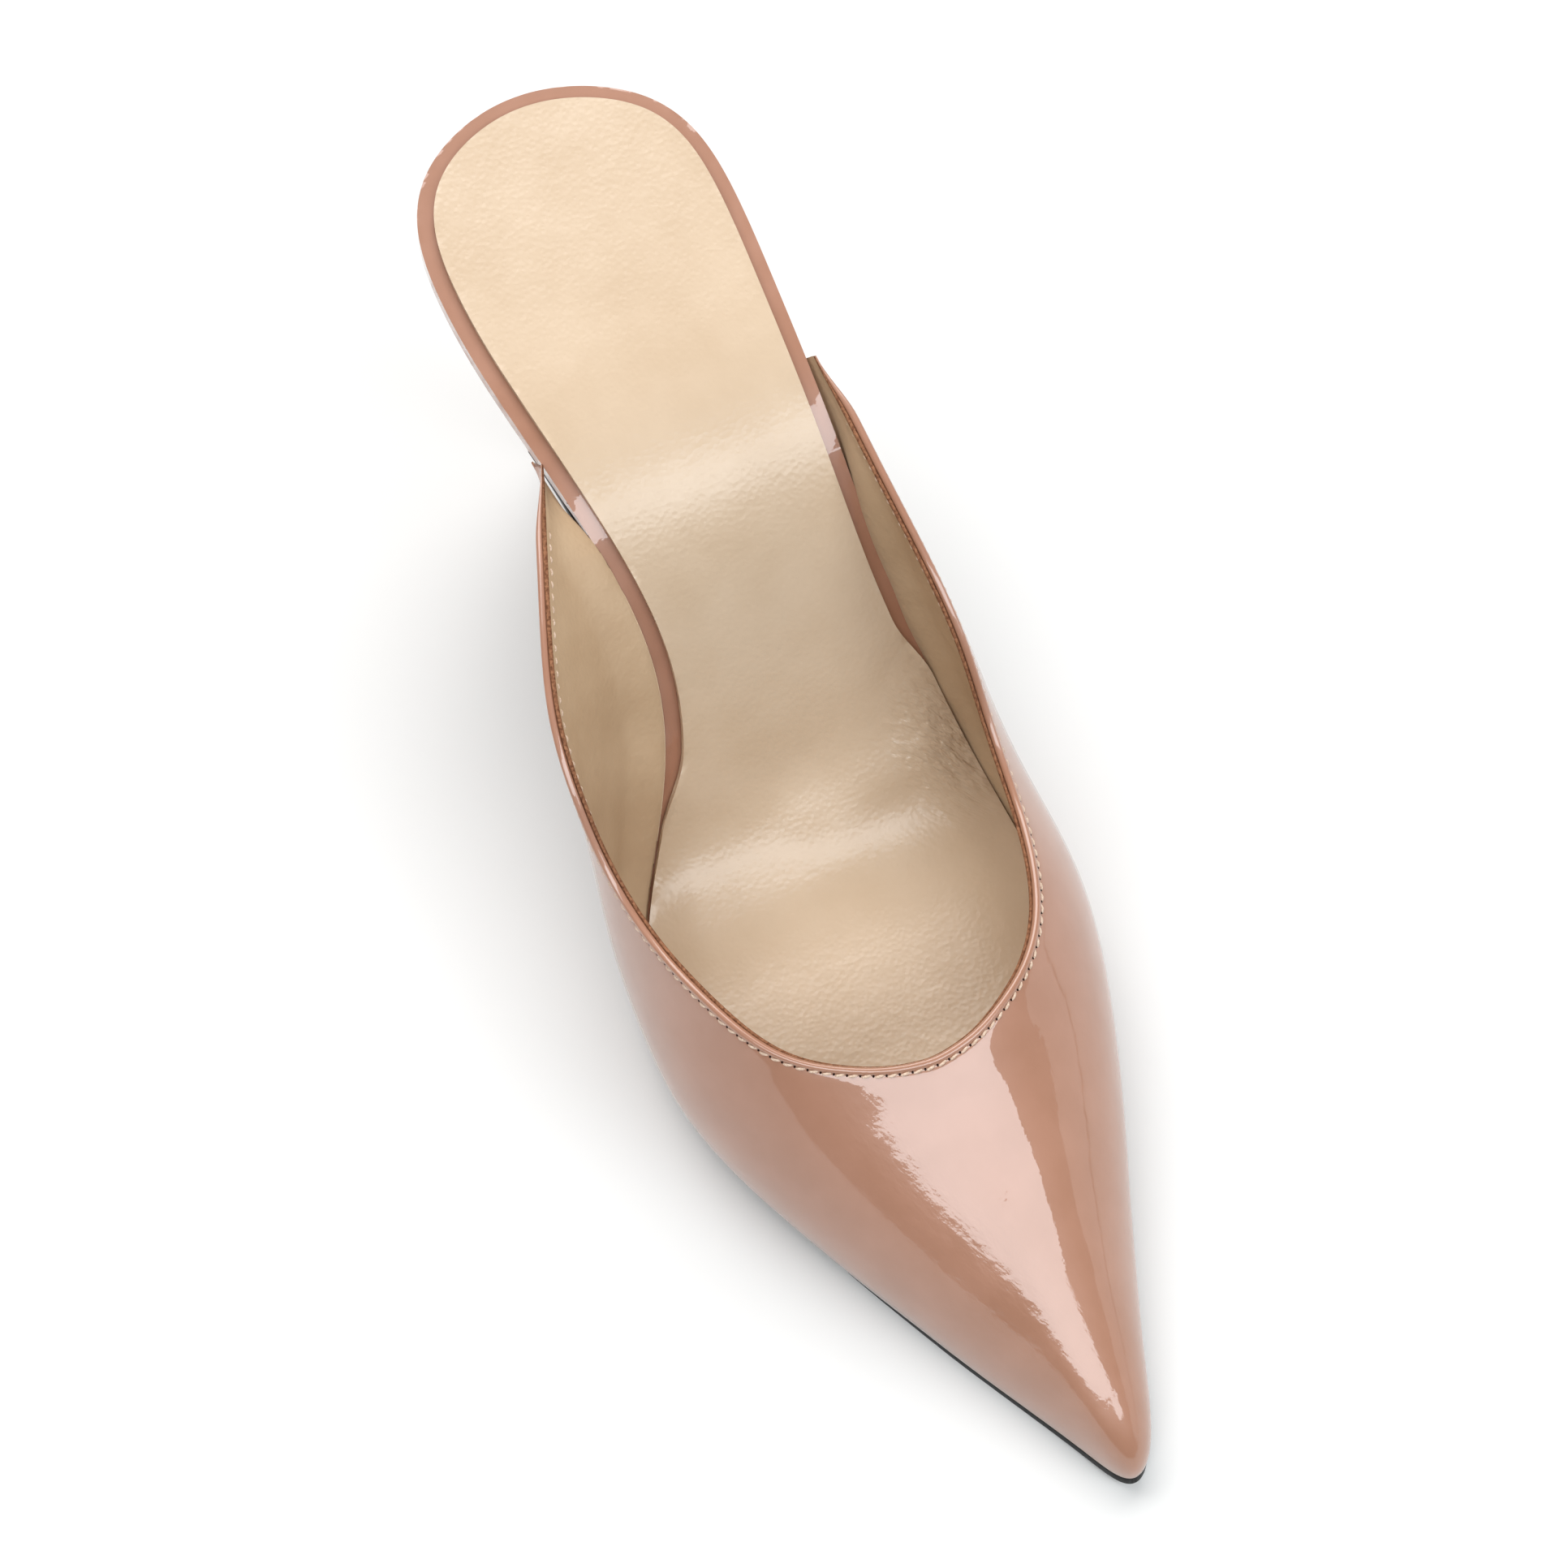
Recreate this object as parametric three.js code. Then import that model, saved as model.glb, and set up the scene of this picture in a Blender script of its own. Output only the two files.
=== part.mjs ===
// A left pointed mule with a slim high heel, in millimetres.
// +Z is up, the toe points to -Y, the outer side of the foot is +X.
// The origin lies on the floor under the middle of the forefoot tread.
import * as THREE from 'three';

// Main sizes of the last
const lastLength = 262;        // along the bottom, from toe tip to heel back
const ballWidth = 80;          // outside, across the ball of the foot
const instepHeight = 41;       // from the footbed's underside to the inner topline
const heelHeight = 82;         // floor to the bottom of the last at the heel back
const toeSpringAngle = 10;     // degrees, at the very tip
const heelSeatAngle = 14;      // degrees, under the heel of the foot
const instepTilt = 34;         // degrees, lean of the rearmost sections
const tiltStart = 0.2;         // shares of the length over which that lean comes in
const tiltRun = 0.55;

// Materials and clearances
const upperWall = 1.7;         // patent leather and lining together
const foldedEdgeWidth = 1.2;   // turned edge along the topline
const foldedEdgeRise = 0.25;   // step of the turned edge over the vamp
const foldedEdgeStep = 0.35;   // width of that step
const edgeRounding = 0.25;
const edgeCrest = 0.35;        // crest of the topline, as a share of the wall from outside
const outsoleThickness = 2.0;
const boardThickness = 3.0;
const sockThickness = 1.1;
const pieceGap = 0.3;          // between glued pieces
const toeSoleInset = 0.05;     // outsole edge inside the upper's lower edge, at the toe
const ballSoleInset = 1.0;     // the same under the ball and the arch
const waistSoleInset = 2.3;    // the same where the sole meets the heel
const sockRimFront = 0.4;      // wrapped edge left free beside the sock, at the ball
const sockRimBack = 2.7;       // the same from the waist to the heel
const sockRimInner = 0.52;     // shares of the length where it widens on each side
const sockRimOuter = 0.55;
const sockRimRun = 0.05;
const boardToeBack = 2.0;      // board tip behind the inside of the toe
const sockToeBack = 5.0;       // the same for the sock's tip

// Heel
const heelTopInset = 2.7;      // heel top inside the last's outline
const heelTipWidth = 10.4;
const heelTipLength = 11.6;
const heelTipForward = 18;     // heel back of the last to the middle of the tip
const tipRoundness = 2.5;      // 2 is an ellipse, more is squarer
const topPieceHeight = 5.7;
const topPieceInset = 0.1;
const heelStemRise = 40;       // height over which the stem stays slim
const heelStemGrow = 0.7;      // stem over the tip, on every side
const heelStemBack = 1.2;      // stem behind the tip
const heelSeatDrop = 15;       // depth of the flare under the seat
const heelSeatDraw = 0.24;     // how far the flare draws in to the seat's middle
const seatMiddleShare = 0.62;  // that middle, from the breast to the heel back
const breastPlace = 0.783;     // heel front, as a share of the last's length
const breastBow = 1.2;         // hollow across the heel front
const soleEndGap = 0.004;      // outsole end before the heel, as the same share

// Places along the last, as shares of its length
const treadMiddle = 0.30;
const springEnd = 0.095;
const ballEnd = 0.363;
const archRun = 0.172;
const archTop = 0.63;
const seatRun = 0.198;
const ballSoleStart = 0.1;
const ballSoleRun = 0.18;
const waistSoleStart = 0.66;
const waistSoleRun = 0.12;
const toeZone = 0.12;
const endZone = 0.2;           // share of the outline steps that crowd at tip and heel

// Half outline of the upper's lower edge, in percent of the ball width.
// The rows lie at equal outline steps from the toe tip to the heel back.
const outlineRows = [
  { inner: 0.0, outer: 0.0 },
  { inner: 3.3, outer: 4.1 },
  { inner: 6.5, outer: 8.0 },
  { inner: 12.9, outer: 12.4 },
  { inner: 22.6, outer: 19.4 },
  { inner: 33.0, outer: 27.8 },
  { inner: 41.9, outer: 35.2 },
  { inner: 48.4, outer: 41.2 },
  { inner: 49.4, outer: 44.8 },
  { inner: 46.6, outer: 43.7 },
  { inner: 36.6, outer: 40.5 },
  { inner: 27.0, outer: 36.6 },
  { inner: 23.6, outer: 33.2 },
  { inner: 26.2, outer: 31.2 },
  { inner: 31.2, outer: 30.8 },
  { inner: 35.4, outer: 31.4 },
  { inner: 38.0, outer: 32.4 },
  { inner: 37.4, outer: 31.2 },
  { inner: 30.4, outer: 23.8 },
  { inner: 17.6, outer: 10.0 },
  { inner: 4.0, outer: -4.0 },
];

// Ribs of the upper from the topline down to the lower edge, at equal outline steps.
// along and run are percent of the last's length, out, flare and push of the ball width,
// up, drop and rise of the instep height. run, flare and drop lead away from the topline,
// push and rise lead away from the lower edge.
const ribStep = 0.06;
const toeRib = {
  along: 25.1, out: -6.2, up: 90.2, run: 13.0, flare: 0, drop: 36.6, push: 1.0, rise: 31.7,
};
const innerRibs = [
  { along: 25.2, out: 9.4, up: 90.5, run: 12.6, flare: 0.3, drop: 36.6, push: 0.6, rise: 29 },
  { along: 25.6, out: 15.4, up: 91.2, run: 10.3, flare: -1.5, drop: 31.7, push: 0.9, rise: 29 },
  { along: 26.6, out: 22.6, up: 92.7, run: 7.6, flare: -0.6, drop: 26.8, push: 1.6, rise: 30 },
  { along: 28.2, out: 30.8, up: 94.6, run: 5, flare: 2, drop: 24.4, push: 3.6, rise: 33 },
  { along: 30.5, out: 36.8, up: 96.8, run: 2.9, flare: 5.6, drop: 25.6, push: 7.8, rise: 36.6 },
  { along: 34.2, out: 41.6, up: 98.8, run: 1.1, flare: 7.5, drop: 31.7, push: 8.6, rise: 39 },
  { along: 40.3, out: 46.7, up: 100, run: 0.2, flare: 5.6, drop: 34.1, push: 5, rise: 39 },
  { along: 47.5, out: 49.8, up: 94, run: 0, flare: 2.4, drop: 32, push: 11.0, rise: 29 },
  { along: 55, out: 50.8, up: 80.5, run: 0, flare: -0.4, drop: 27, push: 15, rise: 20 },
  { along: 62.5, out: 49.8, up: 58.5, run: 0, flare: -3.6, drop: 20.5, push: 13, rise: 17 },
  { along: 70, out: 41.6, up: 28, run: 0, flare: -3.6, drop: 9, push: 6, rise: 8.5 },
  { along: 77.5, out: 31, up: 7.3, run: 0, flare: -0.3, drop: 2.4, push: 0.4, rise: 2.4 },
];
const outerRibs = [
  { along: 25.2, out: -2.8, up: 90.2, run: 12.6, flare: 0.9, drop: 36.6, push: 2.6, rise: 31.7 },
  { along: 25.6, out: 3.6, up: 90, run: 10.3, flare: 2.8, drop: 31.7, push: 3.5, rise: 31.7 },
  { along: 26.8, out: 10.8, up: 89.5, run: 7.2, flare: 4.4, drop: 28, push: 4.6, rise: 31.7 },
  { along: 28.5, out: 18.6, up: 88.8, run: 4.6, flare: 7.6, drop: 25.6, push: 6.4, rise: 32.9 },
  { along: 31.2, out: 25.3, up: 87.8, run: 2.7, flare: 10.2, drop: 23.2, push: 6.8, rise: 34.1 },
  { along: 35, out: 30.2, up: 86.6, run: 1.1, flare: 11.8, drop: 23.2, push: 6.4, rise: 35.4 },
  { along: 40.8, out: 34.3, up: 85.4, run: 0.4, flare: 9.8, drop: 26.8, push: 4.3, rise: 36.6 },
  { along: 47.5, out: 35.6, up: 82.9, run: 0, flare: 7.4, drop: 28.5, push: 2.5, rise: 34.1 },
  { along: 55, out: 35.3, up: 73.2, run: 0, flare: 6, drop: 26, push: 2.8, rise: 27 },
  { along: 62.5, out: 34, up: 53.7, run: 0, flare: 3.8, drop: 19, push: 2.6, rise: 18 },
  { along: 70, out: 32.2, up: 25.6, run: 0, flare: 2, drop: 9, push: 1.8, rise: 9 },
  { along: 77.5, out: 32.2, up: 7.3, run: 0, flare: -0.2, drop: 2.4, push: 0.2, rise: 2.4 },
];

// Rims of the flat layers, from the lower to the upper face. inset leads inwards from the
// layer's outline, n is the height over the last's bottom.
const outsoleRims = [
  { inset: outsoleThickness * 0.3, n: -pieceGap - outsoleThickness },
  { inset: outsoleThickness * 0.08, n: -pieceGap - outsoleThickness * 0.8 },
  { inset: 0, n: -pieceGap - outsoleThickness * 0.2 },
  { inset: outsoleThickness * 0.1, n: -pieceGap },
];
const boardRims = [
  { inset: boardThickness * 0.3, n: 0 },
  { inset: boardThickness * 0.07, n: boardThickness * 0.17 },
  { inset: 0, n: boardThickness * 0.5 },
  { inset: boardThickness * 0.07, n: boardThickness * 0.83 },
  { inset: boardThickness * 0.3, n: boardThickness },
];
const sockBottom = boardThickness + pieceGap;
const sockRims = [
  { inset: 0, n: sockBottom },
  { inset: 0, n: sockBottom + sockThickness * 0.6 },
  { inset: sockThickness * 0.3, n: sockBottom + sockThickness },
];

// Rows of mesh points
const stepsPerSide = 60;
const upperSteps = 43;
const wallRows = 14;
const rowCrowding = 1.5;       // over 1, the rows crowd towards the lower edge
const heelPoints = 22;         // from the middle of its front to its back
const breastPoints = 4;        // of these, up to the corner of the front
const breastCorner = -50;      // degrees, that corner seen from the tip's middle
const heelLevels = 16;
const topPiecePoints = 32;

const degree = Math.PI / 180;
const clamp01 = (t) => Math.min(1, Math.max(0, t));
const smooth = (t) => clamp01(t) ** 2 * (3 - 2 * clamp01(t));
const mix = (a, b, t) => a + (b - a) * t;

// Uniform cubic blend of evenly spaced values
function blend(valueAt, position) {
  const first = Math.floor(position);
  const t = position - first;
  const before = 3 * t ** 3 - 6 * t ** 2 + 4;
  const after = -3 * t ** 3 + 3 * t ** 2 + 3 * t + 1;
  const weights = [(1 - t) ** 3, before, after, t ** 3];
  return weights.reduce((sum, weight, k) => sum + (weight * valueAt(first - 1 + k)) / 6, 0);
}

// Bottom line of the last in the YZ plane
const spineStep = 0.5;

function slopeAt(u, archAngle) {
  const share = u / lastLength;
  const toe = -toeSpringAngle * clamp01(1 - share / springEnd);
  const arch = archAngle * smooth((share - ballEnd) / archRun);
  const seat = (archAngle - heelSeatAngle) * smooth((share - archTop) / seatRun);
  return (toe + arch - seat) * degree;
}

function traceSpine(archAngle) {
  const points = [{ y: 0, z: 0 }];
  const count = Math.round(lastLength / spineStep);
  for (let i = 0; i < count; i += 1) {
    const slope = slopeAt(((i + 0.5) / count) * lastLength, archAngle);
    const last = points[i];
    const step = lastLength / count;
    points.push({ y: last.y + step * Math.cos(slope), z: last.z + step * Math.sin(slope) });
  }
  const lowest = Math.min(...points.map((point) => point.z));
  return points.map((point) => ({ y: point.y, z: point.z - lowest + outsoleThickness + pieceGap }));
}

// The arch is as steep as the heel height asks for
function solveArchAngle() {
  let low = 0;
  let high = 85;
  for (let i = 0; i < 40; i += 1) {
    const middle = (low + high) / 2;
    if (traceSpine(middle).at(-1).z < heelHeight) low = middle;
    else high = middle;
  }
  return (low + high) / 2;
}

const archAngle = solveArchAngle();
const spine = traceSpine(archAngle);

function spineAt(u) {
  const position = (u / lastLength) * (spine.length - 1);
  const i = Math.min(spine.length - 2, Math.max(0, Math.floor(position)));
  const t = position - i;
  return { y: mix(spine[i].y, spine[i + 1].y, t), z: mix(spine[i].z, spine[i + 1].z, t) };
}

const originY = spineAt(treadMiddle * lastLength).y;

// A point u along the bottom line, x to the outer side and n above it
function placeSection(u, x, n) {
  const tilt = instepTilt * smooth((u / lastLength - tiltStart) / tiltRun) * degree;
  const foot = spineAt(u);
  return new THREE.Vector3(x, foot.y - originY - n * Math.sin(tilt), foot.z + n * Math.cos(tilt));
}

// The same, square to the bottom line, for the layers of the sole
function placeLayer(u, x, n) {
  const slope = slopeAt(u, archAngle);
  const foot = spineAt(u);
  return new THREE.Vector3(x, foot.y - originY - n * Math.sin(slope), foot.z + n * Math.cos(slope));
}

// Outline of the last's bottom. place runs from -1 over the inner side to 0 at the toe
// tip and on over the outer side to 1, and crowds at tip and heel back.
function alongAt(place) {
  const s = Math.abs(place);
  const rate = lastLength / (1 - endZone);
  if (s < endZone) return (rate * s * s) / (2 * endZone);
  if (s > 1 - endZone) return lastLength - (rate * (1 - s) ** 2) / (2 * endZone);
  return rate * (s - endZone / 2);
}

function outlineValue(index) {
  const last = outlineRows.length - 1;
  const wrapped = index > last ? index - 2 * last : index < -last ? index + 2 * last : index;
  const row = outlineRows[Math.abs(wrapped)];
  return ((wrapped < 0 ? -row.inner : row.outer) * ballWidth) / 100;
}

function outlineAt(place) {
  const x = blend(outlineValue, place * (outlineRows.length - 1));
  return new THREE.Vector2(alongAt(place), x);
}

function outwardAt(place) {
  const step = 0.002;
  const back = outlineAt(place - step);
  const ahead = outlineAt(place + step);
  return new THREE.Vector2(back.y - ahead.y, ahead.x - back.x).normalize();
}

function insetOutline(place, inset) {
  return outlineAt(place).addScaledVector(outwardAt(place), -inset);
}

// Ribs of the upper, by place on the outline
function ribRow(index) {
  const side = index < 0 ? innerRibs : outerRibs;
  const last = side.length;
  const k = Math.abs(index);
  if (k > last) return { beyond: true, end: side[last - 1], before: side[last - 2] };
  return k === 0 ? toeRib : side[k - 1];
}

function ribValue(name, scale, index) {
  const row = ribRow(index);
  const value = row.beyond ? 2 * row.end[name] - row.before[name] : row[name];
  const sided = name === 'out' || name === 'flare';
  return ((sided && index < 0 ? -value : value) * scale) / 100;
}

function ribColumn(name, scale, place) {
  return blend((index) => ribValue(name, scale, index), place / ribStep);
}

function ribAt(place) {
  const top = new THREE.Vector3(
    ribColumn('along', lastLength, place),
    ribColumn('out', ballWidth, place),
    ribColumn('up', instepHeight, place),
  );
  const leave = new THREE.Vector3(
    -ribColumn('run', lastLength, place),
    ribColumn('flare', ballWidth, place),
    -ribColumn('drop', instepHeight, place),
  );
  const edge = outlineAt(place);
  const outward = outwardAt(place);
  const foot = new THREE.Vector3(edge.x, edge.y, 0);
  const push = ribColumn('push', ballWidth, place);
  const rise = ribColumn('rise', instepHeight, place);
  const lead = new THREE.Vector3(outward.x * push, outward.y * push, rise);
  return new THREE.CubicBezierCurve3(top, top.clone().add(leave), foot.clone().add(lead), foot);
}

function surfaceAt(place, t) {
  const point = ribAt(place).getPoint(t);
  return placeSection(point.x, point.y, point.z);
}

function outwardNormal(place, t) {
  const step = 0.004;
  const t0 = Math.max(0, t - step);
  const t1 = Math.min(1, t + step);
  const across = surfaceAt(place + step, t).sub(surfaceAt(place - step, t));
  const down = surfaceAt(place, t1).sub(surfaceAt(place, t0));
  return down.cross(across).normalize();
}

// Curve parameters at chosen distances below the topline
function ribParameters(place) {
  const fine = 80;
  const lengths = [0];
  let last = surfaceAt(place, 0);
  for (let i = 1; i <= fine; i += 1) {
    const point = surfaceAt(place, i / fine);
    lengths.push(lengths[i - 1] + point.distanceTo(last));
    last = point;
  }
  const total = lengths[fine];
  const edgeRows = [edgeRounding, foldedEdgeWidth, foldedEdgeWidth + foldedEdgeStep];
  const reach = Math.min(1, total / (2 * edgeRows[2]));
  const rows = edgeRows.map((distance) => distance * reach);
  const start = rows[2];
  const left = wallRows - edgeRows.length;
  for (let i = 1; i <= left; i += 1) rows.push(mix(start, total, 1 - (1 - i / left) ** rowCrowding));
  return rows.map((distance) => {
    const i = Math.max(1, lengths.findIndex((length) => length >= distance - 1e-9));
    const t = (distance - lengths[i - 1]) / (lengths[i] - lengths[i - 1]);
    return { t: (i - 1 + t) / fine, raised: distance <= edgeRows[1] * reach };
  });
}

// Closed section of the upper's wall along one rib
function wallSection(place) {
  const outside = [];
  const inside = [];
  ribParameters(place).forEach(({ t, raised }) => {
    const point = surfaceAt(place, t);
    const normal = outwardNormal(place, t);
    const rise = raised ? foldedEdgeRise : 0;
    outside.push(point.clone().addScaledVector(normal, rise));
    inside.push(point.clone().addScaledVector(normal, -upperWall));
  });
  const crest = surfaceAt(place, 0).addScaledVector(outwardNormal(place, 0), -upperWall * edgeCrest);
  return [crest, ...outside, ...inside.reverse()];
}

// Triangles over one end of a run of loops. Point k faces point count - k.
function endFaces(loop, base, faces) {
  const count = loop.length;
  faces.push([base, base + 1, base + count - 1]);
  for (let k = 1; k + 1 <= count - k - 1; k += 1) {
    faces.push([base + k, base + k + 1, base + count - k]);
    if (k + 1 < count - k - 1) faces.push([base + k + 1, base + count - k - 1, base + count - k]);
  }
}

// Closed solid over loops with equally many points
function solidFromLoops(loops) {
  const count = loops[0].length;
  const points = loops.flat();
  const faces = [];
  for (let i = 0; i + 1 < loops.length; i += 1) {
    for (let k = 0; k < count; k += 1) {
      const a = i * count + k;
      const b = i * count + ((k + 1) % count);
      faces.push([a, b, b + count], [a, b + count, a + count]);
    }
  }
  const first = [];
  endFaces(loops[0], 0, first);
  faces.push(...first.map((face) => [...face].reverse()));
  endFaces(loops.at(-1), (loops.length - 1) * count, faces);
  return outwardGeometry(points, faces);
}

function outwardGeometry(points, faces) {
  const volume = faces.reduce((sum, [a, b, c]) => {
    const cross = new THREE.Vector3().crossVectors(points[b], points[c]);
    return sum + points[a].dot(cross);
  }, 0);
  const ordered = volume > 0 ? faces : faces.map((face) => [...face].reverse());
  const geometry = new THREE.BufferGeometry();
  const positions = points.flatMap((point) => [point.x, point.y, point.z]);
  geometry.setAttribute('position', new THREE.Float32BufferAttribute(positions, 3));
  geometry.setIndex(ordered.flat());
  geometry.computeVertexNormals();
  return geometry;
}

function upperGeometry() {
  const sections = [];
  for (let i = -upperSteps; i <= upperSteps; i += 1) sections.push(wallSection(i / stepsPerSide));
  return solidFromLoops(sections);
}

// One loop around a sole layer. insetAt gives the inset by place, endStep the last step,
// toeBack how far the layer's tip stays behind the outline's.
function layerLoop(insetAt, n, endStep, toeBack) {
  const ring = (place) => {
    const point = insetOutline(place, insetAt(place));
    const along = point.x + toeBack * (1 - smooth(point.x / (toeZone * lastLength)));
    return placeLayer(along, point.y, n);
  };
  const inner = [];
  const outer = [];
  for (let i = 1; i <= endStep; i += 1) {
    inner.push(ring(-i / stepsPerSide));
    outer.push(ring(i / stepsPerSide));
  }
  if (endStep === stepsPerSide) outer.pop();
  return [ring(0), ...inner, ...outer.reverse()];
}

function layerGeometry(rims, insetAt, endStep, toeBack) {
  return solidFromLoops(rims.map((rim) => {
    const rimInset = (place) => insetAt(place) + rim.inset;
    return layerLoop(rimInset, rim.n, endStep, toeBack);
  }));
}

const shareAt = (place) => alongAt(place) / lastLength;
const boardInset = upperWall + pieceGap;

function outsoleGeometry() {
  const ballAt = (place) => smooth((shareAt(place) - ballSoleStart) / ballSoleRun);
  const waistAt = (place) => smooth((shareAt(place) - waistSoleStart) / waistSoleRun);
  const frontInset = (place) => mix(toeSoleInset, ballSoleInset, ballAt(place));
  const insetAt = (place) => mix(frontInset(place), waistSoleInset, waistAt(place));
  const lastStep = Math.floor(stepsPerSide * placeOfShare(breastPlace - soleEndGap));
  return layerGeometry(outsoleRims, insetAt, lastStep, 0);
}

function placeOfShare(share) {
  return share * (1 - endZone) + endZone / 2;
}

function boardGeometry() {
  return layerGeometry(boardRims, () => boardInset, stepsPerSide, boardToeBack);
}

// The sock leaves a rim of the wrapped board free from the waist backwards
function sockInset(place) {
  const start = place < 0 ? sockRimInner : sockRimOuter;
  const widening = smooth((shareAt(place) - start) / sockRimRun);
  return boardInset + mix(sockRimFront, sockRimBack, widening);
}

function sockGeometry() {
  return layerGeometry(sockRims, sockInset, stepsPerSide, sockToeBack);
}

// Round outline of the heel's tip, by angle from the outer side
function tipOutline(angle, z, grow) {
  const round = (value) => Math.sign(value) * Math.abs(value) ** (2 / tipRoundness);
  const heelBack = placeLayer(lastLength, 0, 0);
  const middle = outlineAt(1 - endZone).y + outlineAt(endZone - 1).y;
  const x = middle / 2 + (heelTipWidth / 2 + grow) * round(Math.cos(angle));
  const y = heelBack.y - heelTipForward + (heelTipLength / 2 + grow) * round(Math.sin(angle));
  return new THREE.Vector3(x, y, z);
}

// Point k around the heel's top: 0 is the middle of its front, heelPoints its back.
// side is -1 on the inner side and 1 on the outer side.
function heelTopPoint(side, k) {
  const corner = placeOfShare(breastPlace);
  if (k < breastPoints) {
    const left = insetOutline(-corner, heelTopInset);
    const right = insetOutline(corner, heelTopInset);
    const share = 0.5 + (side * 0.5 * k) / breastPoints;
    const bow = breastBow * (1 - (k / breastPoints) ** 2);
    return placeLayer(mix(left.x, right.x, share) - bow, mix(left.y, right.y, share), -pieceGap);
  }
  const place = side * mix(corner, 1, (k - breastPoints) / (heelPoints - breastPoints));
  const point = insetOutline(place, heelTopInset);
  return placeLayer(point.x, point.y, -pieceGap);
}

// The same point's direction around the tip, in radians from the outer side
function heelAngle(side, k) {
  const behind = (k - breastPoints) / (heelPoints - breastPoints);
  const front = mix(-90, breastCorner, k / breastPoints);
  const angle = k < breastPoints ? front : mix(breastCorner, 90, behind);
  return (side > 0 ? angle : 180 - angle) * degree;
}

function heelRib(side, k, seatMiddle) {
  const top = heelTopPoint(side, k);
  const angle = heelAngle(side, k);
  const tip = tipOutline(angle, topPieceHeight + pieceGap, 0);
  const flare = top.clone().lerp(seatMiddle, heelSeatDraw);
  flare.z = top.z - heelSeatDrop;
  const stem = tipOutline(angle, topPieceHeight + heelStemRise, heelStemGrow);
  stem.y += heelStemBack;
  return new THREE.CubicBezierCurve3(top, flare, stem, tip);
}

function heelGeometry() {
  const seatMiddle = heelTopPoint(1, 0).lerp(heelTopPoint(1, heelPoints), seatMiddleShare);
  const ribs = [heelRib(1, 0, seatMiddle)];
  for (let k = 1; k <= heelPoints; k += 1) ribs.push(heelRib(-1, k, seatMiddle));
  for (let k = heelPoints - 1; k >= 1; k -= 1) ribs.push(heelRib(1, k, seatMiddle));
  const loops = [];
  for (let level = 0; level <= heelLevels; level += 1) {
    loops.push(ribs.map((rib) => rib.getPoint(level / heelLevels)));
  }
  return solidFromLoops(loops);
}

function topPieceLoop(z) {
  const loop = [];
  for (let k = 0; k < topPiecePoints; k += 1) {
    const angle = (-90 - (k / topPiecePoints) * 360) * degree;
    loop.push(tipOutline(angle, z, -topPieceInset));
  }
  return loop;
}

const patent = new THREE.MeshStandardMaterial({ color: '#b5806c', roughness: 0.08, metalness: 0 });
const sockLeather = new THREE.MeshStandardMaterial({ color: '#d9bd96', roughness: 0.45, metalness: 0 });
const blackSole = new THREE.MeshStandardMaterial({ color: '#1a1918', roughness: 0.5, metalness: 0 });
const heelRubber = new THREE.MeshStandardMaterial({ color: '#161616', roughness: 0.7, metalness: 0 });

function piece(name, geometry, material) {
  const mesh = new THREE.Mesh(geometry, material);
  mesh.name = name;
  return mesh;
}

const mule = new THREE.Group();
mule.name = 'mule';
mule.add(piece('outsole', outsoleGeometry(), blackSole));
mule.add(piece('insole_board', boardGeometry(), patent));
mule.add(piece('sock', sockGeometry(), sockLeather));
mule.add(piece('upper', upperGeometry(), patent));
mule.add(piece('heel', heelGeometry(), patent));
mule.add(piece('top_piece', solidFromLoops([0, topPieceHeight].map(topPieceLoop)), heelRubber));

export default mule;
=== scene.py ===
# %% [markdown]
# # A pointed mule in patent leather
#
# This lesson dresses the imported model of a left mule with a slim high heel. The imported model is
# a fixed frame: each piece made here stands where its solid stands, in metres. +Z is up, the toe
# points to -Y and the outer side of the foot is +X.

# %% The frame
import math

import bpy
import numpy as np
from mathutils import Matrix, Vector


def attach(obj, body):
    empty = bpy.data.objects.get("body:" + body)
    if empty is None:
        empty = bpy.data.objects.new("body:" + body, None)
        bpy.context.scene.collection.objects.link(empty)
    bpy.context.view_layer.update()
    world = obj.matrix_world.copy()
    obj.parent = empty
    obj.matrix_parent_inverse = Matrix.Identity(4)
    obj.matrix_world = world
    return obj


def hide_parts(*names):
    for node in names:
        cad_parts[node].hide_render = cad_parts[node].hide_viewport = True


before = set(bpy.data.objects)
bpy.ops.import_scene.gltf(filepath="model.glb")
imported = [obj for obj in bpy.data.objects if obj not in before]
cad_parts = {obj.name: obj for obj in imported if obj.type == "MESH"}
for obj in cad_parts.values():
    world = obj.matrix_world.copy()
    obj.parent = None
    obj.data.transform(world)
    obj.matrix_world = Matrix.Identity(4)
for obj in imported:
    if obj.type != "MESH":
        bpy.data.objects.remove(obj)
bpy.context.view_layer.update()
print("solids:", sorted(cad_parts))

# %% [markdown]
# ## The last
#
# A shoe is built over a last, a solid foot shape, and every piece here is measured from it. The
# upper's surface is doubly curved and very glossy, so a flaw of a tenth of a millimetre shows in
# its reflections. That is why its points come from the same sizes and tables as the solids, and
# are only set much closer together. Sizes are in millimetres and turned to metres in the mesh.

# %% Sizes of the last
MM = 0.001
last_length = 262.0
ball_width = 80.0
instep_height = 41.0
heel_height = 82.0
toe_spring_angle = 10.0
heel_seat_angle = 14.0
instep_tilt = 34.0
tilt_start, tilt_run = 0.2, 0.55
upper_wall = 1.7
outsole_thickness = 2.0
board_thickness = 3.0
sock_thickness = 1.1
piece_gap = 0.3
spring_end, ball_end, arch_run = 0.095, 0.363, 0.172
arch_top, seat_run = 0.63, 0.198
tread_middle = 0.30
end_zone = 0.2
upper_end = 43 / 60
breast_place = 0.783

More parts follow.
